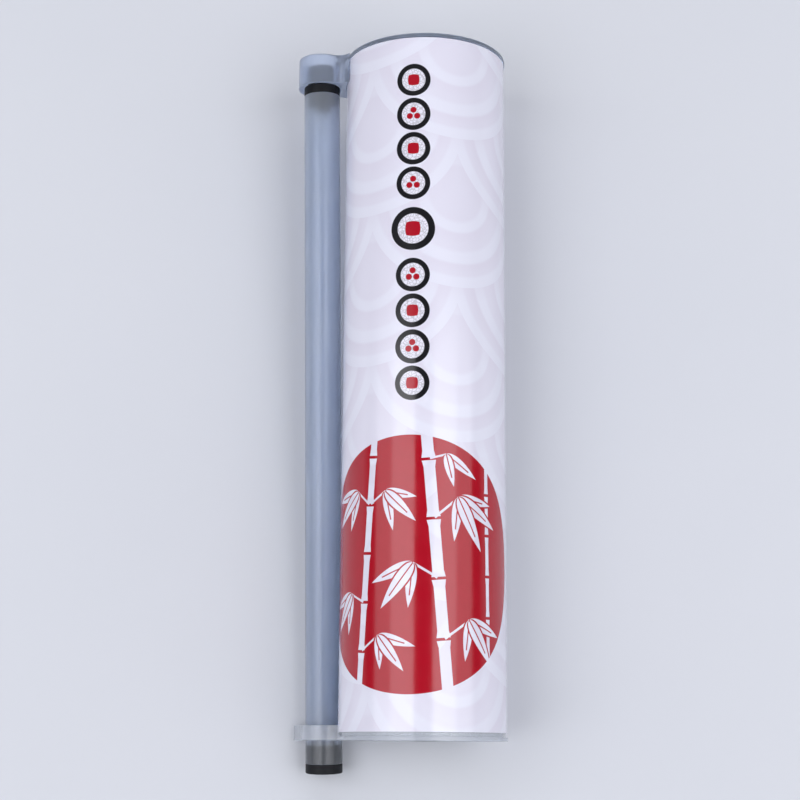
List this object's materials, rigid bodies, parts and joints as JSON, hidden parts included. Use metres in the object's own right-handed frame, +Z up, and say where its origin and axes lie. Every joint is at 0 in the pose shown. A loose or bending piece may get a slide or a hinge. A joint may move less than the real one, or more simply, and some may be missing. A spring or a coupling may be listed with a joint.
{
  "type": "push-up sushi tube",
  "caption": "Clear push-up tube for a sushi roll, with a printed wrap, a press-in lid, a sliding push disc and a sauce stick clipped along its side that doubles as the push rod.",
  "frame": {"origin": "on the table, under the middle of the laid-down part's footprint", "axes": "+Z up from the table, +Y along the tube from its base to its lid, the sauce stick on the -X side"},
  "size_m": [0.0604, 0.2054, 0.0464],
  "materials": {
    "clear_barrel": "clear gloss",
    "printed_wrap": "printed film, gloss",
    "clear_rings": "clear, slightly frosted",
    "clear_lid": "clear, slightly frosted",
    "white_disc": "moulded, satin",
    "frosted_tube": "translucent, frosted",
    "black_stopper": "soft satin"
  },
  "bodies": {
    "tube": {"barrel": "clear_barrel", "printed_wrap": "printed_wrap", "top_ring": "clear_rings", "base_ring": "clear_rings"},
    "lid": {"lid": "clear_lid"},
    "push_disc": {"push_disc": "white_disc"},
    "stick": {"sauce_tube": "frosted_tube"},
    "top_stopper": {"top_stopper": "black_stopper"},
    "bottom_stopper": {"bottom_stopper": "black_stopper"}
  },
  "joints": [
    {"name": "lid_lift", "type": "slide", "parent": "tube", "child": "lid", "axis": [0, 1, 0], "range_m": [0, 0.06]},
    {"name": "disc_push", "type": "slide", "parent": "tube", "child": "push_disc", "axis": [0, 1, 0], "range_m": [0, 0.176]},
    {"name": "stick_slide", "type": "slide", "parent": "tube", "child": "stick", "axis": [-0.0153, 0.9963, 0.0847], "range_m": [0, 0.21]},
    {"name": "top_stopper_pull", "type": "slide", "parent": "stick", "child": "top_stopper", "axis": [-0.0153, 0.9963, 0.0847], "range_m": [0, 0.03]},
    {"name": "bottom_stopper_pull", "type": "slide", "parent": "stick", "child": "bottom_stopper", "axis": [0.0153, -0.9963, -0.0847], "range_m": [0, 0.007]}
  ]
}
